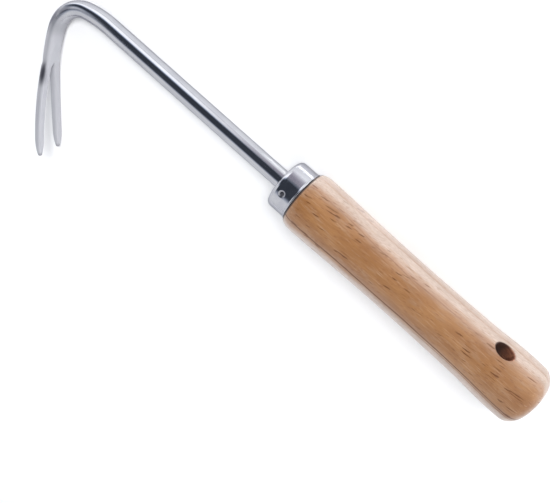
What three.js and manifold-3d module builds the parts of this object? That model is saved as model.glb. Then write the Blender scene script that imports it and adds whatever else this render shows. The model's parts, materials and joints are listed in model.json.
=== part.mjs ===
// Two-tine hand cultivator (root hook): a steel rod bent into a hook and split into two tines,
// set with glue in a turned beech handle whose neck carries a pressed steel ferrule cap.
//
// Units are millimetres. The tool is drawn on its own axes: X runs along the rod towards the
// hook, with X = 0 at the front of the ferrule, the tines point to +Y, and Z is square to the
// plane of the hook. At the end it is laid down on its side, as it lies on a bench.
import * as THREE from "three";
import { mergeVertices } from "three/addons/utils/BufferGeometryUtils.js";
import Module from "manifold-3d";

const wasm = await Module();
wasm.setup();

// ---- Driving dimensions ----
const ROD_R = 4.5;
const TANG_LENGTH = 60;

// The rod's centre line beyond the ferrule: [length, angle turned over that length in radians].
const STRAIGHT = [112, 0];
const LEAD_IN = [14.5, 0.23];
const MAIN_BEND = [22.9, 1.528];
const LEAD_OUT = [16.9, 0.226];
const TINE_CURVE = [48, 0.19];

const FORK_WIDTH = 9.36; // across both tines where they part
const FORK_THICKNESS = 4.84;
const TINE_GAP = 0.5; // at the root of the slit
const TINE_LENGTHS = { upper: 47.6, lower: 44.6 }; // the forging left one tine longer
const TINE_THICKNESS = 3.65; // near the tip
const TIP_SPREAD = 13.7; // between the centre lines of the two tips
const TIP_TAPER = 7; // length over which a tine narrows to its tip
const TIP_FRACTION = 0.3; // width left at the very tip
const TIP_THIN = 0.5; // how much of the thickness a tip would keep at no width
const SPREAD_EASE = 1.9; // above 1, the tines part quickly and then run nearly parallel
const TINE_ROOT = 3; // length of each tine hidden in the solid neck
const TINE_ROOT_THICKNESS = 4.74;
const FORK_SQUARENESS = 3.8; // 2 is an ellipse, and higher is nearer to a rectangle
const TINE_SQUARENESS = 3.2;

const HANDLE_LENGTH = 143.2; // from the front of the ferrule to the butt
const SHOULDER_R = 14.65;
const BUTT_FLAT_R = 6;
const HANG_HOLE_LONG = 9; // along the handle
const HANG_HOLE_WIDE = 6.4;
const HANG_HOLE_X = -118.4;
const HANG_HOLE_ANGLE = -59; // degrees round from +Z towards +Y
const HANG_HOLE_MOUTH = 13.6; // distance from the tool's axis at which the hole starts to widen
const HANG_HOLE_FLARE = 1.3; // how much it widens beyond that, at 45 degrees
const BORE_SPARE = 1.5; // length of the bore beyond the tang
const DRILL_POINT = 2; // depth of the cone at the end of the bore
const NECK_CHAMFER = 0.8;
const SHOULDER_EDGE = 0.5; // how far the wood stands proud of the ferrule where they meet

const FERRULE_R = 12.3;
const FERRULE_LENGTH = 10.7;
const FERRULE_WALL = 0.8;
const FERRULE_CORNER_R = 2.2;
const LIP_FLARE = 0.35;
const LIP_LENGTH = 1.0;
const LIP_ROUND = 0.2;

const BRAD_X = -4.9;
const BRAD_SHANK_R = 0.7;
const BRAD_HEAD_R = 1;
const BRAD_HEAD_HEIGHT = 0.38;
const BRAD_HEAD_EDGE = 0.1; // height of the head's rim
const BRAD_SEAT = 0.1; // the gap under the head
const BRAD_POINT = 1.6;
const BRAD_LENGTH = 5;
const DIMPLE_R = 1.65;
const DIMPLE_DEPTH = 0.6;
const DIMPLE_BALL_R = (DIMPLE_R ** 2 + DIMPLE_DEPTH ** 2) / (2 * DIMPLE_DEPTH);

const GLUE_THICKNESS = 0.5;
const GLUE_SHORT = 1; // length of the tang's end that the glue leaves bare
const GLUE_GAP = 0.1; // between the glue and the steel, and between the glue and the wood
const FIT_GAP = 0.3; // between pieces that touch

// Lying on its side, the tool rests on the shoulder of the handle, the bend and the lower tine.
const LIE_ROLL = 3.01; // degrees about X, the tips lifted
const LIE_PITCH = 3.94; // degrees about Y, the hook end lowered

const ROUND = 48; // segments round a turned piece
const ROD_ROUND = 20; // points round the rod
const HOLE_ROUND = 28;
const BRAD_ROUND = 20;

// ---- Solids ----

// A closed geometry as a solid that can be joined and cut.
function solid(geometry) {
  const bare = geometry.index ? geometry.toNonIndexed() : geometry.clone();
  bare.deleteAttribute("normal");
  bare.deleteAttribute("uv");
  const merged = mergeVertices(bare, 1e-4);
  const corners = merged.index.array;
  const faces = [];
  for (let i = 0; i < corners.length; i += 3) {
    const [a, b, c] = [corners[i], corners[i + 1], corners[i + 2]];
    if (a !== b && b !== c && c !== a) faces.push(a, b, c);
  }
  const mesh = new wasm.Mesh({
    numProp: 3,
    vertProperties: merged.attributes.position.array,
    triVerts: new Uint32Array(faces),
  });
  return new wasm.Manifold(mesh);
}

function meshOf(name, shape, material) {
  const { numProp, vertProperties, triVerts } = shape.getMesh();
  const geometry = new THREE.BufferGeometry();
  const interleaved = new THREE.InterleavedBuffer(vertProperties, numProp);
  geometry.setAttribute("position", new THREE.InterleavedBufferAttribute(interleaved, 3, 0));
  geometry.setIndex(new THREE.BufferAttribute(triVerts, 1));
  const flat = geometry.toNonIndexed();
  flat.computeVertexNormals();
  const mesh = new THREE.Mesh(flat, material);
  mesh.name = name;
  return mesh;
}

// A piece turned about X, from a closed outline of [x, radius] points listed from the
// butt end to the hook end on the outside.
function turned(outline, segments = ROUND) {
  const points = outline.map(([x, r]) => new THREE.Vector2(r, x));
  return solid(new THREE.LatheGeometry(points, segments).rotateZ(-Math.PI / 2));
}

// Points of a quarter ellipse from one [x, radius] point to another, leaving the first
// point along X (alongX true) or square to X.
function quarterRound(from, to, alongX, steps) {
  const points = [];
  for (let i = 1; i <= steps; i += 1) {
    const turn = (i / steps) * (Math.PI / 2);
    const [u, v] = [Math.sin(turn), 1 - Math.cos(turn)];
    const [fx, fr] = alongX ? [u, v] : [v, u];
    points.push([from[0] + (to[0] - from[0]) * fx, from[1] + (to[1] - from[1]) * fr]);
  }
  return points;
}

// ---- Fork: tang, rod, bend and tines, forged in one piece ----

// The point and heading at a distance s along a path of constant bends.
function pointAt(path, s) {
  const at = { x: 0, y: 0, heading: 0 };
  let left = s;
  for (const [length, turn] of path) {
    const run = Math.min(left, length);
    const swing = (turn * run) / length;
    const chord = swing === 0 ? run : ((2 * run) / swing) * Math.sin(swing / 2);
    at.x += Math.cos(at.heading + swing / 2) * chord;
    at.y += Math.sin(at.heading + swing / 2) * chord;
    at.heading += swing;
    left -= run;
  }
  return at;
}

const spaced = (from, to, steps) =>
  Array.from({ length: steps + 1 }, (_, i) => from + ((to - from) * i) / steps);

// One ring of points: an ellipse that turns into a rounded rectangle as squareness grows from 2.
function ring({ x, y, heading }, side, thickness, width, squareness) {
  const points = [];
  const power = 2 / squareness;
  for (let i = 0; i < ROD_ROUND; i += 1) {
    const turn = (i / ROD_ROUND) * 2 * Math.PI;
    const [c, s] = [Math.cos(turn), Math.sin(turn)];
    const across = (thickness / 2) * Math.sign(c) * Math.abs(c) ** power;
    const sideways = side + (width / 2) * Math.sign(s) * Math.abs(s) ** power;
    points.push([x - Math.sin(heading) * across, y + Math.cos(heading) * across, sideways]);
  }
  return points;
}

// A closed skin over rings of points, with a flat face at each end.
function loft(rings) {
  const positions = [];
  const centre = (points) =>
    [0, 1, 2].map((k) => points.reduce((sum, p) => sum + p[k], 0) / points.length);
  const [first, last] = [rings[0], rings[rings.length - 1]];
  for (let i = 0; i < first.length; i += 1) {
    const j = (i + 1) % first.length;
    positions.push(...centre(first), ...first[j], ...first[i]);
    positions.push(...centre(last), ...last[i], ...last[j]);
    for (let k = 1; k < rings.length; k += 1) {
      const [back, front] = [rings[k - 1], rings[k]];
      positions.push(...back[i], ...back[j], ...front[j]);
      positions.push(...back[i], ...front[j], ...front[i]);
    }
  }
  const geometry = new THREE.BufferGeometry();
  geometry.setAttribute("position", new THREE.Float32BufferAttribute(positions, 3));
  return solid(geometry);
}

const smooth = (t) => t * t * (3 - 2 * t);
const mix = (a, b, t) => a + (b - a) * t;

const rodPath = [[TANG_LENGTH, 0], STRAIGHT, LEAD_IN, MAIN_BEND, LEAD_OUT, TINE_CURVE];
const rodLength = (count) => rodPath.slice(0, count).reduce((sum, [length]) => sum + length, 0);
const [BEND_START, CROTCH] = [rodLength(2), rodLength(5)];

// The round rod, which flattens from the start of the bend to the root of the slit.
function stem() {
  const rings = [0, ...spaced(BEND_START, CROTCH, 24)].map((s) => {
    const t = smooth(THREE.MathUtils.clamp((s - BEND_START) / (CROTCH - BEND_START), 0, 1));
    const thickness = mix(2 * ROD_R, FORK_THICKNESS, t);
    const width = mix(2 * ROD_R, FORK_WIDTH, t);
    return ring(pointAt(rodPath, s), 0, thickness, width, mix(2, FORK_SQUARENESS, t));
  });
  return loft(rings);
}

function tine(sideSign, length) {
  const end = CROTCH + length;
  const rootWidth = (FORK_WIDTH - TINE_GAP) / 2;
  const rootSide = (FORK_WIDTH - rootWidth) / 2;
  const tip = [0.35, 0.62, 0.82, 0.95, 1].map((t) => end - TIP_TAPER * (1 - t));
  const rings = [...spaced(CROTCH - TINE_ROOT, end - TIP_TAPER, 14), ...tip].map((s) => {
    const t = THREE.MathUtils.clamp((s - CROTCH) / length, 0, 1);
    const side = mix(rootSide, TIP_SPREAD / 2, 1 - (1 - t) ** SPREAD_EASE);
    const fromTip = THREE.MathUtils.clamp((end - s) / TIP_TAPER, 0, 1);
    const fullness = mix(TIP_FRACTION, 1, Math.sqrt(1 - (1 - fromTip) ** 2));
    const thickness = mix(TINE_ROOT_THICKNESS, TINE_THICKNESS, t) * mix(TIP_THIN, 1, fullness);
    const width = rootWidth * fullness;
    return ring(pointAt(rodPath, s), sideSign * side, thickness, width, TINE_SQUARENESS);
  });
  return loft(rings);
}

function forkRod() {
  const fork = stem().add(tine(1, TINE_LENGTHS.upper)).add(tine(-1, TINE_LENGTHS.lower));
  return fork.translate([-TANG_LENGTH, 0, 0]);
}

// ---- Handle ----

// The outline of the wood behind the ferrule, as a smooth curve through a few radii.
function gripOutline() {
  const butt = -HANDLE_LENGTH;
  const curve = new THREE.SplineCurve([
    new THREE.Vector2(butt + 7, 14.55),
    new THREE.Vector2(butt + 15, 14.65),
    new THREE.Vector2(butt + 24, 14.3),
    new THREE.Vector2(butt + 34, 13.8),
    new THREE.Vector2(-76, 13.5),
    new THREE.Vector2(-48, 13.85),
    new THREE.Vector2(-30, 14.35),
    new THREE.Vector2(-17, SHOULDER_R),
  ]);
  return curve.getPoints(18).map((p) => [p.x, p.y]);
}

function handle() {
  const butt = -HANDLE_LENGTH;
  const neckR = FERRULE_R - FERRULE_WALL - FIT_GAP;
  const neckFront = -FERRULE_WALL - FIT_GAP;
  const step = -FERRULE_LENGTH - FIT_GAP;
  const grip = gripOutline();
  const boreR = ROD_R + GLUE_THICKNESS + 2 * GLUE_GAP;
  const boreEnd = -TANG_LENGTH - BORE_SPARE;
  const wood = turned([
    [butt, 0],
    [butt, BUTT_FLAT_R],
    ...quarterRound([butt, BUTT_FLAT_R], grip[0], false, 8).slice(0, -1),
    ...grip,
    ...quarterRound(grip[grip.length - 1], [step, FERRULE_R + SHOULDER_EDGE], true, 4),
    [step, neckR],
    [neckFront - NECK_CHAMFER, neckR],
    [neckFront, neckR - NECK_CHAMFER],
    [neckFront, boreR],
    [boreEnd, boreR],
    [boreEnd - DRILL_POINT, 0],
  ]);
  return wood.subtract(hangHole()).subtract(bradHole(DIMPLE_DEPTH + BRAD_LENGTH + FIT_GAP));
}

// Turns a shape drawn along +Y so that it points out from the tool's axis at x, at an angle
// from +Z towards +Y.
function pointedOut(shape, x, angle) {
  return shape.rotate([90 - angle, 0, 0]).translate([x, 0, 0]);
}

// The oval hole right through the wood, which widens where it meets each side.
function hangHole() {
  const oval = (height, grow) =>
    Array.from({ length: HOLE_ROUND }, (_, i) => {
      const turn = (i / HOLE_ROUND) * 2 * Math.PI;
      const along = Math.cos(turn) * (HANG_HOLE_LONG / 2 + grow);
      return [along, height, Math.sin(turn) * (HANG_HOLE_WIDE / 2 + grow)];
    });
  const outside = HANG_HOLE_MOUTH + HANG_HOLE_FLARE;
  const cutter = loft([
    oval(outside, HANG_HOLE_FLARE),
    oval(HANG_HOLE_MOUTH, 0),
    oval(-HANG_HOLE_MOUTH, 0),
    oval(-outside, HANG_HOLE_FLARE),
  ]);
  return pointedOut(cutter, HANG_HOLE_X, HANG_HOLE_ANGLE);
}

// The clearance hole for the brad, down to a depth below the outside of the ferrule.
function bradHole(depth) {
  const radius = BRAD_SHANK_R + FIT_GAP;
  const hole = new THREE.CylinderGeometry(radius, radius, 2 * depth, BRAD_ROUND);
  return pointedOut(solid(hole.translate(0, FERRULE_R, 0)), BRAD_X, 0);
}

// ---- Ferrule ----

function ferrule() {
  const back = -FERRULE_LENGTH;
  const inner = FERRULE_R - FERRULE_WALL;
  const holeR = ROD_R + FIT_GAP;
  const cornerInner = FERRULE_CORNER_R - FERRULE_WALL;
  const lipR = FERRULE_R + LIP_FLARE;
  const shell = turned([
    [back, inner],
    [back, lipR - LIP_ROUND],
    [back + LIP_ROUND, lipR],
    [back + LIP_LENGTH / 2, lipR - LIP_FLARE / 6],
    [back + LIP_LENGTH, FERRULE_R],
    [-FERRULE_CORNER_R, FERRULE_R],
    ...quarterRound([-FERRULE_CORNER_R, FERRULE_R], [0, FERRULE_R - FERRULE_CORNER_R], true, 5),
    [0, holeR],
    [-FERRULE_WALL, holeR],
    [-FERRULE_WALL, inner - cornerInner],
    ...quarterRound([-FERRULE_WALL, inner - cornerInner], [-FERRULE_CORNER_R, inner], false, 3),
    [back, inner],
  ]);
  const ball = new THREE.SphereGeometry(DIMPLE_BALL_R, 32, 24);
  const dimple = solid(ball.translate(0, FERRULE_R - DIMPLE_DEPTH + DIMPLE_BALL_R, 0));
  return shell.subtract(pointedOut(dimple, BRAD_X, 0)).subtract(bradHole(2 * FERRULE_WALL));
}

// ---- Brad: the small nail that keeps the ferrule on ----

function ferruleBrad() {
  const rimRise = BRAD_HEAD_R ** 2 / (2 * DIMPLE_BALL_R);
  const under = FERRULE_R - DIMPLE_DEPTH + rimRise + BRAD_SEAT;
  const edge = under + BRAD_HEAD_EDGE;
  const points = [
    [under - BRAD_LENGTH, 0],
    [under - BRAD_LENGTH + BRAD_POINT, BRAD_SHANK_R],
    [under, BRAD_SHANK_R],
    [under, BRAD_HEAD_R],
    [edge, BRAD_HEAD_R],
    ...quarterRound([edge, BRAD_HEAD_R], [under + BRAD_HEAD_HEIGHT, 0], true, 4),
  ].map(([h, r]) => new THREE.Vector2(r, h));
  return pointedOut(solid(new THREE.LatheGeometry(points, BRAD_ROUND)), BRAD_X, 0);
}

// ---- Glue: a sleeve round the tang, open at both ends ----

function tangAdhesive() {
  const [inner, outer] = [ROD_R + GLUE_GAP, ROD_R + GLUE_GAP + GLUE_THICKNESS];
  const [back, front] = [-TANG_LENGTH + GLUE_SHORT, -FERRULE_WALL - 2 * FIT_GAP];
  return turned([[back, inner], [back, outer], [front, outer], [front, inner], [back, inner]], 32);
}

// ---- Assembly ----

const steel = (color, roughness) =>
  new THREE.MeshStandardMaterial({ color, roughness, metalness: 1 });
const beech = new THREE.MeshStandardMaterial({ color: 0xd3a67c, roughness: 0.45, metalness: 0 });
const glue = new THREE.MeshStandardMaterial({ color: 0xd9cfa8, roughness: 0.4, metalness: 0 });

const tool = new THREE.Group();
tool.add(meshOf("handle", handle(), beech));
tool.add(meshOf("ferrule", ferrule(), steel(0xc4c8cc, 0.22)));
tool.add(meshOf("fork_rod", forkRod(), steel(0xb9bcc0, 0.25)));
tool.add(meshOf("ferrule_brad", ferruleBrad(), steel(0x8f9194, 0.35)));
tool.add(meshOf("tang_adhesive", tangAdhesive(), glue));

// Laid on its side, centred over the origin, with its lowest point at Z = 0.
tool.rotation.set(THREE.MathUtils.degToRad(LIE_ROLL), THREE.MathUtils.degToRad(LIE_PITCH), 0);
tool.updateMatrixWorld(true);
const box = new THREE.Box3().setFromObject(tool, true);
const middle = box.getCenter(new THREE.Vector3());
tool.position.set(-middle.x, -middle.y, -box.min.z);

const part = new THREE.Group();
part.add(tool);

export default part;
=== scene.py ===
"""Looks of a two-tine hand cultivator: a polished steel fork in a turned beech handle.

Each piece is modelled in millimetres on the tool's own axes, as in the CAD part: X runs along
the rod towards the hook, with X = 0 at the front of the ferrule, the tines point to +Y, and Z is
square to the plane of the hook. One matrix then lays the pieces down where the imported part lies.
Sizes are the CAD part's, apart from the fork's rounder edges and finer tips and the rounded
mouths of the hanging hole.
"""

import json
import math

import bmesh
import bpy
import numpy as np
from mathutils import Matrix, Vector


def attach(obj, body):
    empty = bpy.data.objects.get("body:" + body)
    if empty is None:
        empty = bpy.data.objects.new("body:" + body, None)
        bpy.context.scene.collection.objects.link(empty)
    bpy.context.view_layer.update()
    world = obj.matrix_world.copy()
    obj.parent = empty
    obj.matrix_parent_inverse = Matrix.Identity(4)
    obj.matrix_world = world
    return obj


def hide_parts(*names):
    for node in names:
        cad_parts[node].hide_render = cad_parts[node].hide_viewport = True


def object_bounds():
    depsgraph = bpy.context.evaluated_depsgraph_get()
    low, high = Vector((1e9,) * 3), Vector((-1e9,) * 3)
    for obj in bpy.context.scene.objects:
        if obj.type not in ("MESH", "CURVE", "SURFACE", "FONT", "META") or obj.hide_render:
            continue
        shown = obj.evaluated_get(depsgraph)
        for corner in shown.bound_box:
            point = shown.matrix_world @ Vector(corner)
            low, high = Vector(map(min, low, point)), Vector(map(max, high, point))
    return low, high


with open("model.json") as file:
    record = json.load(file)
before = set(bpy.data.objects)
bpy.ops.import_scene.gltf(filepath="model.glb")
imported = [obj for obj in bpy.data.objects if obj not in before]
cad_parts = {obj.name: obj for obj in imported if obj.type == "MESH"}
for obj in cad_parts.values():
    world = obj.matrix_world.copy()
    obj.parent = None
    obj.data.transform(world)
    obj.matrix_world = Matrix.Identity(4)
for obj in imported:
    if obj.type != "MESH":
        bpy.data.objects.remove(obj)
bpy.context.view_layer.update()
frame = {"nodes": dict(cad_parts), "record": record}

MM = 0.001

# ---- Sizes of the tool, in millimetres and degrees ----
LIE_ROLL = 3.01
LIE_PITCH = 3.94
ROD_R = 4.5
TANG_LENGTH = 60
TANG_END = ((0.0, 0.85), (0.15, 0.95))  # places near the tang's end, and how full the bar is there
STRAIGHT = (112, 0)  # a stretch's length, and how far it turns towards the tines in radians
LEAD_IN = (14.5, 0.23)
MAIN_BEND = (22.9, 1.528)
LEAD_OUT = (16.9, 0.226)
TINE_CURVE = (48, 0.19)
ROD_PATH = ((TANG_LENGTH, 0), STRAIGHT, LEAD_IN, MAIN_BEND, LEAD_OUT, TINE_CURVE)
BEND_START = TANG_LENGTH + STRAIGHT[0]
CROTCH = BEND_START + LEAD_IN[0] + MAIN_BEND[0] + LEAD_OUT[0]

FORK_WIDTH = 9.36
FORK_THICKNESS = 4.84
FORK_SQUARENESS = 2.7  # 2 is an oval section, and more is squarer
FLAT_RUN = 22
FLAT_DEPTH = 0.78
TINE_GAP = 0.5
TINE_LENGTHS = {1: 47.6, -1: 44.6}
TINE_ROOT_THICKNESS = 4.74
TINE_THICKNESS = 3.65
TINE_SQUARENESS = 2.4
TINE_FLAT = 0.86
TIP_SPREAD = 13.7
TIP_TAPER = 9.5
TIP_EASE = 0.62
TIP_FRACTION = 0.2
TIP_THIN = 0.12
TIP_ROUND = 0.6
SPREAD_EASE = 1.9
CROTCH_BLEND = 3

HANDLE_LENGTH = 143.2
SHOULDER_X = -17
SHOULDER_R = 14.65
BUTT_FLAT_R = 6
NECK_CHAMFER = 0.8
FERRULE_R = 12.3
FERRULE_LENGTH = 10.7
FERRULE_WALL = 0.8
FERRULE_CORNER_R = 2.2
FRONT_HOLE_EDGE = 0.25
LIP_FLARE = 0.35
LIP_EDGE = (0.3, 0.2)  # length and height of the lip's rounded back edge
LIP_BEND = 0.75
LIP_LENGTH = 1.2
FIT_GAP = 0.3
SHOULDER_EDGE = 0.5
BORE_R = 5.2
BORE_END = -61.5
DRILL_POINT = 2
HOLE_X = -118.4
HOLE_LONG = 9
HOLE_WIDE = 6.4
HOLE_ANGLE = -59
HOLE_ROUND = 0.7
HOLE_MOUTH_TURN = 1.15  # how far round the mouth's edge turns before it meets the surface, in radians
CUTTER_RISE = (1.2, 1.0)  # how much wider and higher the cutter ends, outside the wood

BRAD_X = -4.9
BRAD_SHANK_R = 0.7
BRAD_HEAD_R = 1
BRAD_HEAD_HEIGHT = 0.38
BRAD_HEAD_EDGE = 0.06
BRAD_HEAD_STAND = 0.12
BRAD_POINT = 1.6
BRAD_LENGTH = 5
DIMPLE_R = 1.65
DIMPLE_DEPTH = 0.6
DIMPLE_FADE = (0.8, 1.25)  # the dimple's edge fades out between these parts of its radius


def placement():
    """Where the tool's own axes lie in the row frame: the butt's middle is a mount of the part."""
    butt = next(m for m in frame["record"]["mounts"] if m["name"] == "butt_face")
    roll = Matrix.Rotation(math.radians(LIE_ROLL), 4, "X")
    pitch = Matrix.Rotation(math.radians(LIE_PITCH), 4, "Y")
    to_butt = Matrix.Translation((HANDLE_LENGTH * MM, 0, 0))
    return Matrix.Translation(butt["pos_m"]) @ roll @ pitch @ to_butt


TOOL = placement()


# ---- Mesh helpers ----

GRIP_AROUND = 160  # how many points go round each shape
HOLE_AROUND = 96
BRAD_HOLE_AROUND = 24
FERRULE_AROUND = 288
BRAD_AROUND = 40


def piece(name, points, faces, material, sharp_angle=32):
    """A mesh object from points in millimetres on the tool's axes, laid in its place."""
    mesh = bpy.data.meshes.new(name)
    mesh.from_pydata([TOOL @ (Vector(p) * MM) for p in points], [], faces)
    mesh.materials.append(material)
    made = bpy.data.objects.new(name, mesh)
    bpy.context.scene.collection.objects.link(made)
    clean(mesh, sharp_angle)
    return made


def clean(mesh, sharp_angle):
    """Faces out, smooth shading, and hard edges where faces meet at more than the angle."""
    work = bmesh.new()
    work.from_mesh(mesh)
    bmesh.ops.remove_doubles(work, verts=work.verts, dist=1e-7)
    bmesh.ops.recalc_face_normals(work, faces=work.faces)
    for face in work.faces:
        face.smooth = True
    for edge in work.edges:
        edge.smooth = len(edge.link_faces) == 2 and edge.calc_face_angle() < math.radians(sharp_angle)
    work.to_mesh(mesh)
    work.free()


def stand_for(made, node):
    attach(made, "root")
    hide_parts(node)


def cut(made, cutter, sharp_angle=32):
    """Takes the cutter's shape out of a piece, and deletes the cutter."""
    tool = made.modifiers.new("cut", "BOOLEAN")
    tool.operation = "DIFFERENCE"
    tool.solver = "EXACT"
    tool.object = cutter
    bpy.context.view_layer.update()
    depsgraph = bpy.context.evaluated_depsgraph_get()
    mesh = bpy.data.meshes.new_from_object(made.evaluated_get(depsgraph))
    made.modifiers.clear()
    made.data = mesh
    bpy.data.objects.remove(cutter)
    clean(mesh, sharp_angle)


def smooth(t):
    t = np.clip(t, 0, 1)
    return t * t * (3 - 2 * t)


def mix(a, b, t):
    return a + (b - a) * t


def arc(start, end, along_x, steps):
    """Points of a quarter ellipse between two (x, radius) points, leaving the first along X or not."""
    turn = np.linspace(0, math.pi / 2, steps + 1)[1:]
    u, v = np.sin(turn), 1 - np.cos(turn)
    fx, fr = (u, v) if along_x else (v, u)
    return [(mix(start[0], end[0], a), mix(start[1], end[1], b)) for a, b in zip(fx, fr)]


def line(start, end, steps):
    """Points along a straight line, without its first point."""
    parts = np.linspace(0, 1, steps + 1)[1:]
    return [(mix(start[0], end[0], t), mix(start[1], end[1], t)) for t in parts]


def spline(knots, steps):
    """A smooth curve through (x, radius) knots, by a Catmull-Rom segment between each pair."""
    ends = [knots[0]] + list(knots) + [knots[-1]]
    points = [knots[0]]
    for p0, p1, p2, p3 in zip(ends, ends[1:], ends[2:], ends[3:]):
        for t in np.linspace(0, 1, steps + 1)[1:]:
            points.append(tuple(catmull(*c, t) for c in zip(p0, p1, p2, p3)))
    return points


def catmull(a, b, c, d, t):
    slope_b, slope_c = (c - a) / 2, (d - b) / 2
    cube = (2 * b - 2 * c + slope_b + slope_c) * t**3
    return cube + (-3 * b + 3 * c - 2 * slope_b - slope_c) * t**2 + slope_b * t + b


def turned(outline, around, closed=False):
    """Points and faces of a shape turned about X. An outline that isn't closed ends on the axis."""
    points, faces, rings = [], [], []
    for x, r in outline:
        if r < 1e-6:
            rings.append([len(points)] * around)
            points.append((x, 0, 0))
            continue
        rings.append(list(range(len(points), len(points) + around)))
        for k in range(around):
            turn = 2 * math.pi * k / around
            points.append((x, r * math.sin(turn), r * math.cos(turn)))
    pairs = list(zip(rings, rings[1:])) + ([(rings[-1], rings[0])] if closed else [])
    for one, two in pairs:
        for k in range(around):
            n = (k + 1) % around
            face = list(dict.fromkeys((one[k], one[n], two[n], two[k])))
            faces.append(face)
    return points, faces


# ---- Fork: rod, bend and tines ----


def point_at(s):
    """The point and heading at a distance s along the rod's centre line."""
    x, y, heading, left = -TANG_LENGTH, 0.0, 0.0, s
    for length, turn in ROD_PATH:
        run = min(left, length)
        swing = turn * run / length
        chord = run if swing == 0 else 2 * run / swing * math.sin(swing / 2)
        x += math.cos(heading + swing / 2) * chord
        y += math.sin(heading + swing / 2) * chord
        heading += swing
        left -= run
    return x, y, heading


def section(angles, half_thick, half_wide, squareness):
    """Points of a superellipse at polar angles, as (across, sideways): 0 is across, 90 degrees is +Z."""
    c, s = np.cos(angles), np.sin(angles)
    r = (np.abs(c) ** squareness + np.abs(s) ** squareness) ** (-1 / squareness)
    return np.stack([half_thick * r * c, half_wide * r * s], 1)


def placed(s, offsets, side=0):
    x, y, heading = point_at(s)
    nx, ny = -math.sin(heading), math.cos(heading)
    return [(x + nx * across, y + ny * across, side + sideways) for across, sideways in offsets]


FACE_STEPS, EDGE_STEPS = 16, 20
QUARTER = math.pi / 4
HALF_ROUND = np.concatenate(
    [
        np.linspace(0, QUARTER, FACE_STEPS + 1)[:-1],
        np.linspace(QUARTER, 3 * QUARTER, EDGE_STEPS + 1)[:-1],
        np.linspace(3 * QUARTER, 4 * QUARTER, FACE_STEPS + 1),
    ]
)
TINE_ROUND = np.concatenate(
    [
        np.linspace(-QUARTER, QUARTER, FACE_STEPS + 1)[:-1],
        np.linspace(QUARTER, 3 * QUARTER, EDGE_STEPS + 1)[:-1],
        np.linspace(3 * QUARTER, 5 * QUARTER, FACE_STEPS + 1),
    ]
)
INNER_ROUND = np.linspace(5 * QUARTER, 7 * QUARTER, EDGE_STEPS + 1)[1:-1]


def stem_section(s, angles):
    """The bar's section, which is flattened, with a flat ground on its inner side near the tines."""
    t = float(smooth((s - BEND_START) / (CROTCH - BEND_START)))
    half_thick = mix(2 * ROD_R, FORK_THICKNESS, t) / 2
    half_wide = mix(2 * ROD_R, FORK_WIDTH, t) / 2
    shape = section(angles, half_thick, half_wide, mix(2, FORK_SQUARENESS, t))
    full = mix(1, 1 / FLAT_DEPTH, t)
    flat = mix(2 * ROD_R, FORK_THICKNESS, float(smooth((s - CROTCH + FLAT_RUN) / FLAT_RUN))) / 2
    inner = shape[:, 0] > 0
    shape[inner, 0] = np.minimum(shape[inner, 0] * full, flat)
    return shape


def slit_wall(outside):
    """Places across the slit's wall, from the last point of the outside back to its first."""
    return np.linspace(outside[-1, 0], outside[0, 0], EDGE_STEPS + 1)[1:-1]


def tine_section(s, length):
    """Offsets round a tine from the inner corner of one face, over the outside, to the slit's wall."""
    t = min(max((s - CROTCH) / length, 0), 1)
    root_width = (FORK_WIDTH - TINE_GAP) / 2
    root_side = (FORK_WIDTH - root_width) / 2
    side = mix(root_side, TIP_SPREAD / 2, 1 - (1 - t) ** SPREAD_EASE)
    from_tip = min(max((CROTCH + length - s) / TIP_TAPER, 0), 1)
    fullness = mix(TIP_FRACTION, 1, (1 - (1 - from_tip) ** 2) ** TIP_EASE)
    thickness = mix(TINE_ROOT_THICKNESS, TINE_THICKNESS, t) * mix(TIP_THIN, 1, fullness)
    angles = np.concatenate([TINE_ROUND, INNER_ROUND])
    free = section(angles, thickness / 2, root_width * fullness / 2, TINE_SQUARENESS)
    free[:, 0] = np.minimum(free[:, 0], TINE_FLAT * thickness / 2)
    free[:, 1] += side
    outside = stem_section(CROTCH, HALF_ROUND)
    wall = slit_wall(outside)
    joined = np.concatenate([outside, np.stack([wall, np.zeros(len(wall))], 1)])
    return mix(joined, free, float(smooth((s - CROTCH) / CROTCH_BLEND)))


def tip_cap(s, ring):
    """Smaller and smaller rings that round off the end of a tine."""
    middle = ring.mean(0)
    turns = np.radians([15, 30, 45, 60, 75, 86])
    return [(s + TIP_ROUND * math.sin(a), mix(middle, ring, math.cos(a))) for a in turns]


class Skin:
    """Points and faces of a skin drawn over rings of points."""

    def __init__(self):
        self.points = []
        self.faces = []

    def ring(self, places):
        start = len(self.points)
        self.points.extend(places)
        return list(range(start, start + len(places)))

    def join(self, one, two):
        for k in range(len(one)):
            n = (k + 1) % len(one)
            self.faces.append((one[k], one[n], two[n], two[k]))


STRAIGHT_FROM = 0.6
STRAIGHT_STEP = 4.0
BEND_STEPS = 72
SHAFT_STEPS = 52
TIP_STEPS = 22
TIP_CROWDING = 1.6  # how much closer together the rings get towards the tip
CROTCH_STATIONS = (0.25, 0.5, 0.8, 1.2, 1.7, 2.3, 3.0)
SHAFT_START = 3.8


def add_stem(skin):
    """The tang, rod and bend, from the tang's end to the crotch. Gives the last ring."""
    full = np.concatenate([HALF_ROUND, 2 * math.pi - HALF_ROUND[::-1][1:-1]])
    straight = np.arange(STRAIGHT_FROM, BEND_START, STRAIGHT_STEP)
    bend = np.linspace(BEND_START, CROTCH, BEND_STEPS)
    stations = list(TANG_END) + [(s, 1) for s in (*straight, *bend)]
    rings = [skin.ring(placed(s, stem_section(s, full) * fullness)) for s, fullness in stations]
    for one, two in zip(rings, rings[1:]):
        skin.join(one, two)
    skin.faces.append(rings[0])
    return rings[-1]


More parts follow.
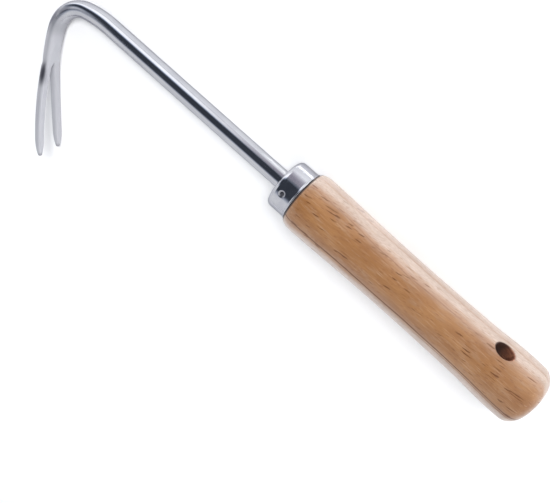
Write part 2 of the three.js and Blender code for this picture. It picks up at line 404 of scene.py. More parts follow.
def add_tine(skin, sign, root):
    """One tine from its root's ring to its rounded tip, on the side that the sign says."""
    length = TINE_LENGTHS[sign]
    end = CROTCH + length
    near = CROTCH + np.array(CROTCH_STATIONS)
    shaft = np.linspace(CROTCH + SHAFT_START, end - TIP_TAPER, SHAFT_STEPS)
    to_go = (1 - np.linspace(0, 1, TIP_STEPS)[1:]) ** TIP_CROWDING
    tip = end - TIP_ROUND - (TIP_TAPER - TIP_ROUND) * to_go
    rows = [(s, tine_section(s, length)) for s in (*near, *shaft, *tip)]
    rows += tip_cap(*rows[-1])
    previous = root
    for s, ring in rows:
        current = skin.ring(placed(s, ring * np.array([1, sign])))
        skin.join(previous, current)
        previous = current
    skin.faces.append(previous)


def fork_mesh():
    skin = Skin()
    last = add_stem(skin)
    wall = slit_wall(stem_section(CROTCH, HALF_ROUND))
    saddle = skin.ring(placed(CROTCH, [(across, 0) for across in wall]))
    half = len(HALF_ROUND)
    add_tine(skin, 1, last[:half] + saddle)
    add_tine(skin, -1, [last[0]] + last[:half - 2:-1] + saddle)
    return skin.points, skin.faces


# ---- Handle ----


def handle_outline():
    butt = -HANDLE_LENGTH
    knots = [  # places along the grip and its radius there
        (butt + 7, 14.55),
        (butt + 15, 14.65),
        (butt + 24, 14.3),
        (butt + 34, 13.8),
        (-76, 13.5),
        (-48, 13.85),
        (-30, 14.35),
        (SHOULDER_X, SHOULDER_R),
    ]
    grip = spline(knots, 24)
    neck_r = FERRULE_R - FERRULE_WALL - FIT_GAP
    neck_front = -FERRULE_WALL - FIT_GAP
    step = -FERRULE_LENGTH - FIT_GAP
    return (
        [(butt, 0)]
        + line((butt, 0), (butt, BUTT_FLAT_R), 12)
        + arc((butt, BUTT_FLAT_R), grip[0], False, 28)[:-1]
        + grip
        + arc(grip[-1], (step, FERRULE_R + SHOULDER_EDGE), True, 18)
        + line((step, FERRULE_R + SHOULDER_EDGE), (step, neck_r), 3)
        + line((step, neck_r), (neck_front - NECK_CHAMFER, neck_r), 6)
        + [(neck_front, neck_r - NECK_CHAMFER)]
        + line((neck_front, neck_r - NECK_CHAMFER), (neck_front, BORE_R), 4)
        + line((neck_front, BORE_R), (BORE_END, BORE_R), 20)
        + [(BORE_END - DRILL_POINT, 0)]
    )


def grip_radius(x):
    outline = [p for p in handle_outline() if p[0] < SHOULDER_X]
    return float(np.interp(x, [p[0] for p in outline], [p[1] for p in outline]))


def hole_cutter():
    """The oval hole's shape, with a rounded mouth at each side that follows the round of the wood."""
    around = HOLE_AROUND
    surface = grip_radius(HOLE_X)
    turns = 2 * math.pi * np.arange(around) / around
    bends = np.linspace(0, HOLE_MOUTH_TURN, 9)
    profile = [(HOLE_ROUND * (1 - math.cos(a)), HOLE_ROUND * (1 - math.sin(a))) for a in bends]
    profile.append((profile[-1][0] + CUTTER_RISE[0], profile[-1][1] - CUTTER_RISE[1]))
    points, faces = [], []
    for side in (1, -1):
        for grow, depth in profile if side == -1 else profile[::-1]:
            wide = (HOLE_WIDE / 2 + grow) * np.sin(turns)
            along = (HOLE_LONG / 2 + grow) * np.cos(turns)
            height = side * (np.sqrt(surface**2 - wide**2) - depth)
            points.extend(zip(along, height, wide))
    last = len(points) - around
    for row in range(0, last, around):
        for k in range(around):
            n = (k + 1) % around
            faces.append((row + k, row + n, row + around + n, row + around + k))
    faces.append(tuple(range(around)))
    faces.append(tuple(range(last, last + around)))
    turn = Matrix.Rotation(math.radians(90 - HOLE_ANGLE), 4, "X")
    move = Matrix.Translation((HOLE_X, 0, 0)) @ turn
    return [tuple(move @ Vector(p)) for p in points], faces


def make_handle(material):
    grip = piece("beech_grip", *turned(handle_outline(), GRIP_AROUND), material)
    cut(grip, piece("hole_cutter", *hole_cutter(), material))
    reach = BRAD_LENGTH + DIMPLE_DEPTH + FIT_GAP
    brad_hole = post(FERRULE_R - reach, FERRULE_R, BRAD_SHANK_R + FIT_GAP)
    cut(grip, piece("brad_cutter", *brad_hole, material))
    stand_for(grip, "handle")


def stood_up(outline, around):
    """A turned shape that stands along +Z at the brad's place: each point is its height and radius."""
    points, faces = turned(outline, around)
    return [(BRAD_X + z, y, x) for x, y, z in points], faces


def post(low, high, radius):
    """A plain round bar at the brad's place, between two heights above the tool's axis."""
    return stood_up([(low, 0), (low, radius), (high, radius), (high, 0)], BRAD_HOLE_AROUND)


# ---- Ferrule and its brad ----


def ferrule_outline():
    back = -FERRULE_LENGTH
    inner = FERRULE_R - FERRULE_WALL
    hole_r = ROD_R + FIT_GAP / 2
    corner = FERRULE_CORNER_R
    lip_r = FERRULE_R + LIP_FLARE
    edge_long, edge_high = LIP_EDGE
    bend = (back + LIP_BEND, FERRULE_R + LIP_FLARE / 2)
    hole_edge = hole_r + FRONT_HOLE_EDGE
    inside = inner - corner + FERRULE_WALL
    return (
        [(back, inner), (back, lip_r - edge_high)]
        + arc((back, lip_r - edge_high), (back + edge_long, lip_r), False, 6)
        + arc((back + edge_long, lip_r), bend, True, 6)
        + arc(bend, (back + LIP_LENGTH, FERRULE_R), False, 6)
        + line((back + LIP_LENGTH, FERRULE_R), (-corner, FERRULE_R), 48)
        + arc((-corner, FERRULE_R), (0, FERRULE_R - corner), True, 24)
        + line((0, FERRULE_R - corner), (0, hole_edge), 10)
        + arc((0, hole_edge), (-FRONT_HOLE_EDGE, hole_r), False, 5)
        + line((-FRONT_HOLE_EDGE, hole_r), (-FERRULE_WALL, hole_r), 2)
        + line((-FERRULE_WALL, hole_r), (-FERRULE_WALL, inside), 8)
        + arc((-FERRULE_WALL, inside), (-corner, inner), False, 10)
        + line((-corner, inner), (back, inner), 20)[:-1]
    )


def pressed(point):
    """A point of the ferrule, pushed in where the punch made the dimple."""
    x, y, z = point
    radius = math.hypot(y, z)
    if z <= 0 or radius < FERRULE_R - 2 * FERRULE_WALL:
        return point
    away = math.hypot(x - BRAD_X, y) / DIMPLE_R
    full, gone = DIMPLE_FADE
    fade = 1 if away < full else float(smooth((gone - away) / (gone - full)))
    depth = DIMPLE_DEPTH * max(1 - away**2, 0) * fade
    shrink = (radius - depth) / radius
    return (x, y * shrink, z * shrink)


def make_ferrule(material):
    points, faces = turned(ferrule_outline(), FERRULE_AROUND, closed=True)
    cap = piece("ferrule_cap", [pressed(p) for p in points], faces, material, sharp_angle=45)
    stand_for(cap, "ferrule")


def make_brad(material):
    under = FERRULE_R - DIMPLE_DEPTH + BRAD_HEAD_STAND
    point = under - BRAD_LENGTH
    rim = under + BRAD_HEAD_EDGE
    outline = (
        [(point, 0), (point + BRAD_POINT, BRAD_SHANK_R), (under, BRAD_SHANK_R)]
        + [(under, BRAD_HEAD_R), (rim, BRAD_HEAD_R)]
        + arc((rim, BRAD_HEAD_R), (under + BRAD_HEAD_HEIGHT, 0), True, 10)
    )
    stand_for(piece("brad", *stood_up(outline, BRAD_AROUND), material), "ferrule_brad")


# ---- Materials ----


def rgb(r, g, b):
    return (r, g, b, 1.0)


class Tree:
    """The nodes of a material or of the studio, made by short calls."""

    def __init__(self, tree):
        self.tree = tree

    def add(self, kind, links=(), **settings):
        node = self.tree.nodes.new(kind)
        for key, value in settings.items():
            setattr(node, key, value)
        for socket, source in links:
            self.put(node, socket, source)
        return node

    def put(self, node, socket, source):
        if isinstance(source, bpy.types.NodeSocket):
            self.tree.links.new(source, node.inputs[socket])
        else:
            node.inputs[socket].default_value = source

    def math(self, operation, a, b=0.0):
        return self.add("ShaderNodeMath", [(0, a), (1, b)], operation=operation).outputs[0]

    def vector(self, operation, a, b=(0, 0, 0)):
        return self.add("ShaderNodeVectorMath", [(0, a), (1, b)], operation=operation).outputs

    def ramp(self, value, low, high, to_low=0.0, to_high=1.0):
        """Value between low and high, turned smoothly into to_low to to_high."""
        links = [("Value", value), ("From Min", low), ("From Max", high)]
        links += [("To Min", to_low), ("To Max", to_high)]
        return self.add("ShaderNodeMapRange", links, interpolation_type="SMOOTHSTEP").outputs["Result"]

    def blend(self, fac, one, two):
        node = self.add("ShaderNodeMix", data_type="RGBA", blend_type="MIX")
        for socket, source in ((0, fac), (6, one), (7, two)):
            self.put(node, socket, source)
        return node.outputs[2]


class Nodes(Tree):
    """A material's nodes, with grain and marks that are laid out on the tool's own axes."""

    def __init__(self, name):
        self.material = bpy.data.materials.new(name)
        self.material.use_nodes = True
        super().__init__(self.material.node_tree)
        self.shader = next(n for n in self.tree.nodes if n.type == "BSDF_PRINCIPLED")
        self.where = self.tool_axes()

    def tool_axes(self):
        """Each point's place on the tool's own axes, in metres."""
        place = self.tree.nodes.new("ShaderNodeTexCoord").outputs["Object"]
        laid = self.add("ShaderNodeMapping", [("Vector", place)], vector_type="TEXTURE")
        laid.inputs["Location"].default_value = TOOL.to_translation()
        laid.inputs["Rotation"].default_value = TOOL.to_euler()
        return laid.outputs["Vector"]

    def stretched(self, grain, turn=0.0, move=(0, 0, 0), lean=(0.0, 0.0)):
        """Places counted in grains of a size in millimetres, turned about the tool's axis by degrees.

        The lean turns the grains' length away from that axis, about Y and then about Z.
        """
        laid = self.add("ShaderNodeMapping", [("Vector", self.where)], vector_type="TEXTURE")
        laid.inputs["Location"].default_value = [step * MM for step in move]
        laid.inputs["Rotation"].default_value = [math.radians(angle) for angle in (turn, *lean)]
        laid.inputs["Scale"].default_value = [size * MM for size in grain]
        return laid.outputs["Vector"]

    def axes(self, vector):
        """A vector's X, Y and Z, by name."""
        return self.add("ShaderNodeSeparateXYZ", [("Vector", vector)]).outputs

    def noise(self, vector, detail=3.0, roughness=0.6):
        links = [("Vector", vector), ("Scale", 1.0), ("Detail", detail), ("Roughness", roughness)]
        return self.add("ShaderNodeTexNoise", links).outputs["Fac"]

    def sway(self, noise, size):
        """A noise turned into a push of at most half a size to either side."""
        return self.math("MULTIPLY", self.math("SUBTRACT", noise, 0.5), size)

    def paint(self, tone, color, where, strength=1.0):
        """A tone with a colour over it, as much as the mask says at each place."""
        return self.blend(self.math("MULTIPLY", where, strength), tone, color)

    def bump(self, height, distance_mm, strength=1.0, normal=None):
        links = [("Height", height), ("Distance", distance_mm * MM), ("Strength", strength)]
        links += [("Normal", normal)] if normal else []
        return self.add("ShaderNodeBump", links).outputs["Normal"]

    def finish(self, **sockets):
        names = {"color": "Base Color", "edge": "Specular Tint", "coat": "Coat Weight"}
        names.update(specular="Specular IOR Level", coat_ior="Coat IOR")
        for key, source in sockets.items():
            self.put(self.shader, names.get(key, key.replace("_", " ").title()), source)
        return self.material


# ---- Beech: grain sizes, depths and places in millimetres, turns in degrees ----

GRAIN_LEAN = (-3.5, 6.5)  # how far the fibres and dashes run out of line with the tool
GRAIN_TURN = 12  # turn from +Z towards -Y of the direction in which the rings are stacked
RING_SPACING = 5.2
RING_AT = 11.3  # depth of one dark ring, from the middle of the handle
LINE_TURN = 64  # a dark line runs down the grip at right angles to this
LINE_SIDE = (5.0, 12.0)  # the line is on one side only, and fades in between these distances
AMBER_FROM = 7.8  # the wood turns from pale to amber between these depths
AMBER_TO = 12.6
SHOULDER_SEAM = -FERRULE_LENGTH - FIT_GAP  # where the wood meets the ferrule's back lip
SEAM_FADE = (-1.0, -0.45)

# The pale wood is partly the beech's own paler wood and partly painted sheen on the grip's side away from the
# tines.
PALE_WOOD_AND_SHEEN = (rgb(0.49, 0.385, 0.315), rgb(0.61, 0.495, 0.42))
AMBER_WOOD = (rgb(0.262, 0.108, 0.027), rgb(0.348, 0.165, 0.056))
MOTTLED_WOOD = rgb(0.34, 0.195, 0.105)
LATE_WOOD = rgb(0.34, 0.14, 0.045)
RING_LINE = rgb(0.15, 0.055, 0.018)
DARK_LINE = rgb(0.10, 0.035, 0.012)
FIBRE_SHADE = rgb(0.20, 0.08, 0.028)
PALE_STREAK = rgb(0.50, 0.33, 0.21)
DARK_STREAK = rgb(0.22, 0.09, 0.03)
SPECK = rgb(0.20, 0.07, 0.02)
FLECK = rgb(0.12, 0.038, 0.010)
# Painted shade in the seam behind the ferrule's back lip.
PAINTED_SEAM_SHADE = rgb(0.03, 0.012, 0.007)
RAW_WOOD = (rgb(0.20, 0.055, 0.025), rgb(0.44, 0.17, 0.09))
# Painted shade on the end of the hanging hole's wall towards the ferrule.
HOLE_PAINTED_SHADE = rgb(0.03, 0.008, 0.005)
DASHES_IN_PALE = 0.3  # how strongly dashes show in the pale wood
DASHES_IN_AMBER = 0.65  # how much more strongly they show in the amber wood


def beech():
    n = Nodes("lacquered beech")
    wander = n.noise(n.stretched((55, 8, 8), GRAIN_TURN), 2.0, 0.5)
    patchy = n.noise(n.stretched((70, 12, 12), GRAIN_TURN, (31, 7, 5)), 1.0, 0.5)
    fibre = n.noise(n.stretched((5, 0.22, 0.22), GRAIN_TURN, lean=GRAIN_LEAN), 4.0, 0.65)
    streak = n.noise(n.stretched((11, 0.6, 0.6), GRAIN_TURN, (2, 3, 8)), 3.0, 0.65)
    depth = ring_depth(n, wander)
    # Amber where the rings lie deep; elsewhere pale wood, which is partly painted sheen.
    amber = n.ramp(n.math("ADD", depth, n.sway(streak, 3.5)), AMBER_FROM, AMBER_TO)
    shown = n.math("ADD", n.math("MULTIPLY", amber, DASHES_IN_AMBER), DASHES_IN_PALE)
    flecks, specks = dashes(n)
    flecks_shown = n.math("MULTIPLY", flecks, shown)
    lines = dark_lines(n, wander, patchy)
    seam_shade = shoulder_seam_shade(n)
    bored, raw_tone_and_shade = bored_wall(n)

    tone = rings(n, plain_wood(n, amber), depth, patchy)
    tone = n.paint(tone, DARK_LINE, lines)
    tone = n.paint(tone, FIBRE_SHADE, n.ramp(fibre, 0.28, 0.62, 0.5, 0.0))
    tone = n.paint(tone, PALE_STREAK, n.ramp(streak, 0.52, 0.75, 0.0, 0.45))
    tone = n.paint(tone, DARK_STREAK, n.ramp(streak, 0.26, 0.46, 0.35, 0.0))
    tone = n.paint(tone, SPECK, n.math("MULTIPLY", specks, shown), 0.6)
    tone = n.paint(tone, FLECK, flecks_shown, 0.95)
    # Painted shade in the seam behind the ferrule's back lip.
    tone = n.paint(tone, PAINTED_SEAM_SHADE, seam_shade)
    # The hole's raw wall, with painted shade on its end towards the ferrule.
    tone = n.paint(tone, raw_tone_and_shade, bored)

    height = n.math("SUBTRACT", n.math("MULTIPLY", fibre, 0.5), n.math("MULTIPLY", flecks, 0.35))
    open_pores = n.math("MAXIMUM", flecks_shown, lines)
    unlacquered = n.math("MAXIMUM", n.math("MAXIMUM", open_pores, bored), seam_shade)
    return n.finish(
        color=tone,
        roughness=n.ramp(fibre, 0.3, 0.7, 0.46, 0.36),
        normal=n.bump(height, 0.05, 0.5),
        coat=n.ramp(unlacquered, 0.0, 0.8, 0.8, 0.1),
        coat_roughness=0.34,
        coat_ior=1.5,
        coat_normal=n.bump(fibre, 0.02, 0.35),
    )


def ring_depth(n, wander):
    """How deep a place is across the growth rings, which wander."""
    drift = n.noise(n.stretched((26, 5, 5), GRAIN_TURN, (3, 17, 4)), 1.0, 0.5)
    depth = n.math("ADD", n.axes(n.stretched((1, 1, 1), GRAIN_TURN))["Z"], n.sway(wander, 3.6))
    return n.math("ADD", depth, n.sway(drift, 1.6))


def plain_wood(n, amber):
    """The wood's ground tones: cloudy pale wood, partly painted sheen, and amber wood with paler mottling."""
    cloud = n.ramp(n.noise(n.stretched((22, 6, 6), GRAIN_TURN, (9, 5, 2)), 3.0, 0.55), 0.3, 0.7)
    mottle = n.noise(n.stretched((9, 2.6, 2.6), GRAIN_TURN, (4, 6, 1)))
    warm = n.blend(cloud, *AMBER_WOOD)
    warm = n.paint(warm, MOTTLED_WOOD, n.ramp(mottle, 0.5, 0.72, 0.0, 0.6))
    return n.blend(amber, n.blend(cloud, *PALE_WOOD_AND_SHEEN), warm)


def rings(n, tone, depth, patchy):
    """Growth rings over a tone: late wood that darkens slowly, and a line that ends it."""
    part = n.math("FRACT", n.math("DIVIDE", n.math("SUBTRACT", depth, RING_AT), RING_SPACING))
    late = n.math("MULTIPLY", n.ramp(part, 0.55, 0.97), n.ramp(part, 1.0, 0.97))
    line = n.math("MULTIPLY", n.ramp(part, 0.90, 0.985), n.ramp(part, 1.0, 0.985))
    line = n.math("MULTIPLY", line, n.ramp(patchy, 0.4, 0.62, 0.05, 0.55))
    return n.paint(n.paint(tone, LATE_WOOD, late, 0.35), RING_LINE, line)


def dashes(n):
    """Masks of dark dashes along the grain: long and middling ones in crowds, and small ones."""
    warp = n.math("MULTIPLY", n.noise(n.stretched((3.5, 1.2, 1.2)), 2.0, 0.5), 0.9)
    bent = n.add("ShaderNodeCombineXYZ", [("Y", warp)]).outputs["Vector"]

    def marks(size, chances, longest):
        place = n.vector("ADD", n.stretched(size, GRAIN_TURN, lean=GRAIN_LEAN), bent)["Vector"]
        cells = n.add("ShaderNodeTexVoronoi", [("Vector", place), ("Scale", 1.0)]).outputs
        chance = n.add("ShaderNodeSeparateColor", [("Color", cells["Color"])]).outputs["Red"]
        reach = n.ramp(chance, *chances, 0.0, longest)
        return n.ramp(n.math("SUBTRACT", reach, cells["Distance"]), 0.0, 0.16)

    middling = marks((7, 1.0, 12), (0.3, 0.9), 0.38)
    long = marks((13, 0.85, 12), (0.45, 0.95), 0.36)
    small = marks((2.8, 0.6, 8), (0.2, 0.95), 0.42)
    crowd = n.noise(n.stretched((34, 3.5, 3.5), GRAIN_TURN, (6, 2, 9), GRAIN_LEAN), 2.0, 0.5)
    crowd = n.ramp(crowd, 0.42, 0.56, 0.2, 1.0)
    return n.math("MULTIPLY", n.math("MAXIMUM", middling, long), crowd), small


def dark_lines(n, wander, patchy):
    """One long dark line down the side of the grip, and a fainter one beside it."""
    place = n.axes(n.stretched((1, 1, 1), LINE_TURN))
    off = n.math("ADD", place["Z"], n.sway(wander, 3.0))
    main = n.ramp(n.math("ABSOLUTE", off), 0.5, 0.14, 0.0, 0.95)
    beside = n.ramp(n.math("ABSOLUTE", n.math("ADD", off, 1.5)), 0.35, 0.1, 0.0, 0.6)
    beside = n.math("MULTIPLY", beside, n.ramp(patchy, 0.45, 0.55))
    return n.math("MULTIPLY", n.math("MAXIMUM", main, beside), n.ramp(place["Y"], *LINE_SIDE))


def shoulder_seam_shade(n):
    """Painted shade in the seam where the shoulder meets the ferrule."""
    start, full = [(SHOULDER_SEAM + off) * MM for off in SEAM_FADE]
    return n.ramp(n.axes(n.where)["X"], start, full, 0.0, 0.92)


def bored_wall(n):
    """The hanging hole's raw wall, which is darker and redder than the turned face, with painted shade on its
    end towards the ferrule.
    """
    place = n.axes(n.stretched((1, 1, 1), -HOLE_ANGLE, (HOLE_X, 0, 0)))
    along = n.math("POWER", n.math("ABSOLUTE", n.math("DIVIDE", place["X"], HOLE_LONG / 2)), 2.0)
    wide = n.math("POWER", n.math("ABSOLUTE", n.math("DIVIDE", place["Y"], HOLE_WIDE / 2)), 2.0)
    torn = n.noise(n.stretched((4, 0.7, 0.7), GRAIN_TURN, (1, 8, 3)))
    raw_tone_and_shade = n.blend(n.ramp(torn, 0.4, 0.62), *RAW_WOOD)
    # Painted shade on the wall's end towards the ferrule.
    raw_tone_and_shade = n.paint(raw_tone_and_shade, HOLE_PAINTED_SHADE, n.ramp(place["X"], -3.4, 1.6))
    return n.ramp(n.math("ADD", along, wide), 1.35, 1.05, 0.0, 0.9), raw_tone_and_shade


# ---- Steel, glue and floor ----

STEEL_EDGE = rgb(0.42, 0.42, 0.45)  # steel mirrors less where it is seen nearly edge-on
SATIN_FROM = (6, 22)  # how far out along +Y the hook turns from polished to satin
TINES_FROM = (27, 44)  # and then to the tines' rougher satin
NECK_ENDS = (24, 16)  # the darker neck ends between these
SATIN_MATT = 0.45  # how much less metallic the satin is than the polished rod
# Painted dark reflection in the ferrule's dimple, which is also rougher.
DIMPLE_SHADE = (1.85, 1.35)  # the dimple is darker within this distance of its middle

# A mark on the fork: how far its middle is past the crotch, off the centre line towards the inner
# side, and sideways. Then how far the mark reaches along the fork, across it and sideways.
# The bend marks are painted dark reflection, carrying the rod's dark band round the outside of the bend.
BEND_PAINTED_REFLECTION = (
    (-29, -0.2, 4.4, (8, 1.6, 2.2)),
    (-22, -0.8, 4.2, (8, 1.8, 2.2)),
    (-16, -2.0, 3.6, (7, 1.8, 2.4)),
)
# Painted dark reflection on the outer corner of the longer tine's root.
ROOT_PAINTED_REFLECTION = (6.3, 0.2, 5.5, (9.0, 2.7, 2.9))
TIP_MARK = (2.6, 2.6, 2.6)


def soft_mark(n, past_crotch, across, side, size):
    """A soft oval mark on the fork: 1 in its middle and 0 outside, with its length along the fork."""
    x, y, heading = point_at(CROTCH + past_crotch)
    middle = (x - math.sin(heading) * across, y + math.cos(heading) * across, side)
    place = n.stretched(size, move=middle, lean=(0.0, math.degrees(heading)))
    return n.ramp(n.vector("LENGTH", place)["Value"], 1.0, 0.15)


def rod_steel():
    """Polished along the rod, and satin on the neck and tines, which were ground after bending."""
    n = Nodes("polished rod steel")
    out = n.axes(n.where)["Y"]
    hook_side = n.ramp(out, *(y * MM for y in SATIN_FROM))
    tine_side = n.ramp(out, *(y * MM for y in TINES_FROM))
    neck = n.math("MULTIPLY", hook_side, n.ramp(out, *(y * MM for y in NECK_ENDS)))
    fine = n.noise(n.stretched((14, 0.18, 0.18)))
    ground = n.noise(n.stretched((0.35, 9, 0.35)))
    cloud = n.noise(n.stretched((9, 9, 9)))
    # Painted dark reflection at the longer tine's root, where the steel is also smoother and fully metallic.
    root = soft_mark(n, *ROOT_PAINTED_REFLECTION)

    tint = n.blend(n.ramp(cloud, 0.35, 0.65), rgb(0.53, 0.535, 0.57), rgb(0.57, 0.575, 0.605))
    worn = n.math("MULTIPLY", n.ramp(ground, 0.45, 0.8), hook_side)
    tint = n.paint(tint, rgb(0.45, 0.45, 0.49), worn, 0.3)
    tint = n.paint(tint, rgb(0.50, 0.50, 0.53), hook_side, 0.6)
    tint = n.paint(tint, rgb(0.31, 0.31, 0.335), neck, 0.75)
    tint = hook_marks(n, tint, root)

    rough = n.add("ShaderNodeMix", data_type="FLOAT")
    satin = n.math("ADD", n.ramp(cloud, 0.3, 0.7, 0.42, 0.50), n.math("MULTIPLY", tine_side, 0.14))
    for socket, source in ((0, hook_side), (2, n.ramp(fine, 0.3, 0.7, 0.09, 0.15)), (3, satin)):
        n.put(rough, socket, source)
    matt = n.math("SUBTRACT", SATIN_MATT, n.math("MULTIPLY", root, SATIN_MATT))
    scratches = n.bump(fine, 0.004, 0.35)
    return n.finish(
        color=tint,
        metallic=n.math("SUBTRACT", 1.0, n.math("MULTIPLY", hook_side, matt)),
        roughness=n.math("SUBTRACT", rough.outputs[0], n.math("MULTIPLY", root, 0.12)),
        normal=n.bump(n.math("MULTIPLY", ground, hook_side), 0.03, 0.4, scratches),
        edge=STEEL_EDGE,
    )


def hook_marks(n, tint, root):
    """Painted dark reflection round the outside of the bend and on the longer tine's root, and the darker
    tips.
    """
    bend_reflections = [soft_mark(n, *mark) for mark in BEND_PAINTED_REFLECTION]
    bend_reflection = n.math("MAXIMUM", n.math("MAXIMUM", bend_reflections[0], bend_reflections[1]), bend_reflections[2])
    # Painted dark reflection round the outside of the bend.
    tint = n.paint(tint, rgb(0.15, 0.15, 0.19), bend_reflection, 0.75)
    # Painted dark reflection at the longer tine's root.
    tint = n.paint(tint, rgb(0.07, 0.07, 0.09), root, 0.85)
    for sign, length in TINE_LENGTHS.items():
        tip = soft_mark(n, length, 0, sign * TIP_SPREAD / 2, TIP_MARK)
        tint = n.paint(tint, rgb(0.14, 0.14, 0.15), tip, 0.6)
    return tint


def ferrule_steel():
    n = Nodes("bright pressed steel")
    fine = n.noise(n.stretched((0.15, 3, 3)))
    cloud = n.noise(n.stretched((5, 5, 5)))
    dimple = (BRAD_X * MM, 0, FERRULE_R * MM)
    # Painted dark reflection in the dimple.
    painted_dimple_dark = n.ramp(n.vector("DISTANCE", n.where, dimple)["Value"], *(r * MM for r in DIMPLE_SHADE))
    tint = n.blend(n.ramp(cloud, 0.35, 0.65), rgb(0.525, 0.53, 0.57), rgb(0.585, 0.59, 0.62))
    both = n.math("ADD", n.math("MULTIPLY", fine, 0.5), n.math("MULTIPLY", cloud, 0.5))
    rough = n.ramp(both, 0.35, 0.65, 0.07, 0.14)
    waves = n.bump(cloud, 0.06, 0.25)
    return n.finish(
        color=n.paint(tint, rgb(0.30, 0.30, 0.33), painted_dimple_dark, 0.7),
        metallic=1.0,
        roughness=n.math("ADD", rough, n.math("MULTIPLY", painted_dimple_dark, 0.24)),
        normal=n.bump(fine, 0.004, 0.3, waves),
        edge=STEEL_EDGE,
    )


def nail_steel():
    n = Nodes("nail steel painted dark")
    cloud = n.noise(n.stretched((0.6, 0.6, 0.6)))
    # The near-black tint is painted shade on the nail's head, down in the dimple.
    tint = n.blend(n.ramp(cloud, 0.35, 0.65), rgb(0.045, 0.045, 0.052), rgb(0.12, 0.12, 0.135))
    rough = n.ramp(cloud, 0.3, 0.7, 0.25, 0.45)
    return n.finish(color=tint, metallic=1.0, roughness=rough, normal=n.bump(cloud, 0.03, 0.5))


def cured_glue():
    n = Nodes("cured glue")
    cloud = n.noise(n.stretched((2, 2, 2)))
    tint = n.blend(n.ramp(cloud, 0.35, 0.65), rgb(0.62, 0.52, 0.30), rgb(0.78, 0.70, 0.48))
    rough = n.ramp(cloud, 0.3, 0.7, 0.3, 0.5)
    return n.finish(color=tint, roughness=rough, normal=n.bump(cloud, 0.1, 0.5))


def floor_paint():
    n = Nodes("pale floor")
    cloud = n.noise(n.stretched((90, 90, 90)), 2.0, 0.5)
    tint = n.blend(n.ramp(cloud, 0.3, 0.7), rgb(0.955, 0.955, 0.955), rgb(0.975, 0.975, 0.975))
    return n.finish(color=tint, roughness=0.9, specular=0.1)


# ---- Studio ----

FLOOR_SIZE = 6.0
CAMERA_AIM = Vector((-0.0146, 0.0, 0.0134))
CAMERA_DISTANCE = 0.3389
CAMERA_AZIMUTH = -9.163
CAMERA_ELEVATION = 58.914
CAMERA_ROLL = -131.66
CAMERA_LENS = 47.13


def from_side(azimuth, elevation):
    """The direction from the tool to a place at an azimuth and elevation in degrees."""
    azimuth, elevation = math.radians(azimuth), math.radians(elevation)
    level = math.cos(elevation)
    return Vector((math.sin(azimuth) * level, -math.cos(azimuth) * level, math.sin(elevation)))


def make_camera():
    back = from_side(CAMERA_AZIMUTH, CAMERA_ELEVATION)
    camera = bpy.data.objects.new("camera", bpy.data.cameras.new("camera"))
    bpy.context.scene.collection.objects.link(camera)
    camera.data.lens = CAMERA_LENS
    camera.data.clip_start = 0.01
    camera.rotation_mode = "QUATERNION"
    level = (-back).to_track_quat("-Z", "Y").to_matrix().to_4x4()
    roll = Matrix.Rotation(math.radians(CAMERA_ROLL), 4, "Z")
    camera.matrix_world = Matrix.Translation(CAMERA_AIM + back * CAMERA_DISTANCE) @ level @ roll
    bpy.context.scene.camera = camera


def make_floor():
    half = FLOOR_SIZE / 2
    mesh = bpy.data.meshes.new("floor")
    level = min(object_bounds()[0].z, 0.0)
    corners = [(-half, -half, level), (half, -half, level), (half, half, level), (-half, half, level)]
    mesh.from_pydata(corners, [], [(0, 1, 2, 3)])
    mesh.materials.append(floor_paint())
    floor = bpy.data.objects.new("floor", mesh)
    bpy.context.scene.collection.objects.link(floor)


# Brightness of the studio by direction, which the steel mirrors.
WALL_LIGHT = 0.97
DARK_CEILING = 0.065
SOFTBOX_LIGHT = 1.75
GREY_LOSS = 0.55
STRIP_LIGHT = 0.25
SHEEN_LIGHT = 1.6
WALL_TINT = rgb(0.965, 0.975, 1.0)
GREY_TINT = rgb(0.97, 0.92, 1.08)
DARK_TINT = rgb(0.80, 0.93, 1.2)

# A zone of the studio has edges: each names a measure, where the zone begins and where it is full.
# The angle is round the tool's own axis, in degrees, from straight up (0) to the side away from the
# tines (90). Along is 1 straight ahead of the hook and -1 behind the butt. The shifted angle is
# smaller by HOOK_SHIFT past the directions that the straight rod mirrors.
DARK_ZONE = (("shifted", -48, -20), ("angle", 51, 34), ("along", -0.14, -0.02), ("along", 1.12, 0.80))
SOFTBOX_ZONE = (("angle", 26, 48), ("angle", 84, 66), ("along", 0.24, 0.38))
GREY_ZONE = (("angle", 36, 50), ("angle", 90, 58), ("along", 0.32, 0.22), ("along", -0.05, 0.05))
STRIP_ZONE = (("angle", 78, 83), ("angle", 90, 87), ("along", 0.34, 0.26), ("along", 0.0, 0.08))
SHEEN_ZONE = (("angle", 50, 72), ("along", 0.06, -0.04))
PAST_ROD = (0.47, 0.56)
HOOK_SHIFT = 26


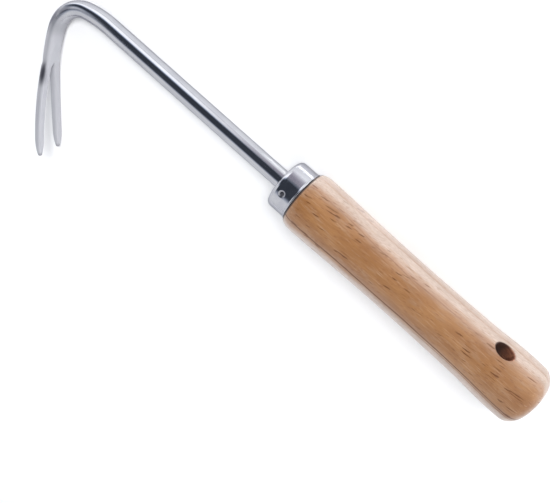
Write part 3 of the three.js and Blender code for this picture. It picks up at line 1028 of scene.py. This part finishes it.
def studio_light():
    world = bpy.data.worlds.new("studio")
    bpy.context.scene.world = world
    world.use_nodes = True
    n = Tree(world.node_tree)
    background = next(node for node in n.tree.nodes if node.type == "BACKGROUND")
    direction = n.add("ShaderNodeTexCoord").outputs["Generated"]
    turn = TOOL.to_3x3()

    def part_along(axis):
        return n.vector("DOT_PRODUCT", direction, turn @ Vector(axis))["Value"]

    along = part_along((1, 0, 0))
    angle = n.math("DEGREES", n.math("ARCTAN2", part_along((0, -1, 0)), part_along((0, 0, 1))))
    shifted = n.math("SUBTRACT", angle, n.ramp(along, *PAST_ROD, 0.0, HOOK_SHIFT))
    measures = {"along": along, "angle": angle, "shifted": shifted}

    def zone(edges):
        inside = 1.0
        for measure, start, full in edges:
            inside = n.math("MULTIPLY", n.ramp(measures[measure], start, full), inside)
        return inside

    dark, grey = zone(DARK_ZONE), zone(GREY_ZONE)
    wall = n.math("MULTIPLY", n.math("SUBTRACT", 1.0, dark), WALL_LIGHT)
    total = n.math("ADD", wall, n.math("MULTIPLY", dark, DARK_CEILING))
    lights = ((zone(SOFTBOX_ZONE), SOFTBOX_LIGHT - WALL_LIGHT), (grey, -GREY_LOSS))
    lights += ((zone(STRIP_ZONE), STRIP_LIGHT), (zone(SHEEN_ZONE), SHEEN_LIGHT))
    for inside, light in lights:
        total = n.math("ADD", total, n.math("MULTIPLY", inside, light))
    n.put(background, "Strength", total)
    n.put(background, "Color", n.blend(dark, n.blend(grey, WALL_TINT, GREY_TINT), DARK_TINT))


FILL_POWER = 9.2
FILL_SIZE = 0.5
FILL_DISTANCE = 1.3
FILL_ELEVATION = 58.0
KICKER_POWER = 0.10
KICKER_PLACE = Vector((0.004, -0.0665, 0.25))
KICKER_SIZE = (0.030, 0.005)
KICKER_SPREAD = 2.5


def area_light(name, place, power, **settings):
    """A light that shines straight down until it is turned, and that the steel doesn't mirror."""
    lamp = bpy.data.lights.new(name, "AREA")
    lamp.energy = power
    for key, value in settings.items():
        setattr(lamp, key, value)
    made = bpy.data.objects.new(name, lamp)
    bpy.context.scene.collection.objects.link(made)
    made.location = place
    made.visible_glossy = False
    made.visible_camera = False
    return made


def fill_light():
    """A soft light from the camera's side."""
    away = from_side(CAMERA_AZIMUTH, FILL_ELEVATION)
    place = CAMERA_AIM + away * FILL_DISTANCE
    made = area_light("fill", place, FILL_POWER, shape="DISK", size=FILL_SIZE)
    made.rotation_euler = (-away).to_track_quat("-Z", "Y").to_euler()


def kicker_light():
    """A narrow band of light on the floor in front of the ferrule, for its bright streak."""
    long, wide = KICKER_SIZE
    spread = math.radians(KICKER_SPREAD)
    area_light("kicker", KICKER_PLACE, KICKER_POWER, shape="RECTANGLE", size=long, size_y=wide, spread=spread)


# ---- Assembly ----

make_handle(beech())
make_ferrule(ferrule_steel())
stand_for(piece("fork", *fork_mesh(), rod_steel()), "fork_rod")
make_brad(nail_steel())
glue_node = frame["nodes"]["tang_adhesive"]
glue_node.data.materials.clear()
glue_node.data.materials.append(cured_glue())

make_floor()
make_camera()
studio_light()
fill_light()
kicker_light()
bpy.context.scene.view_settings.view_transform = "Standard"
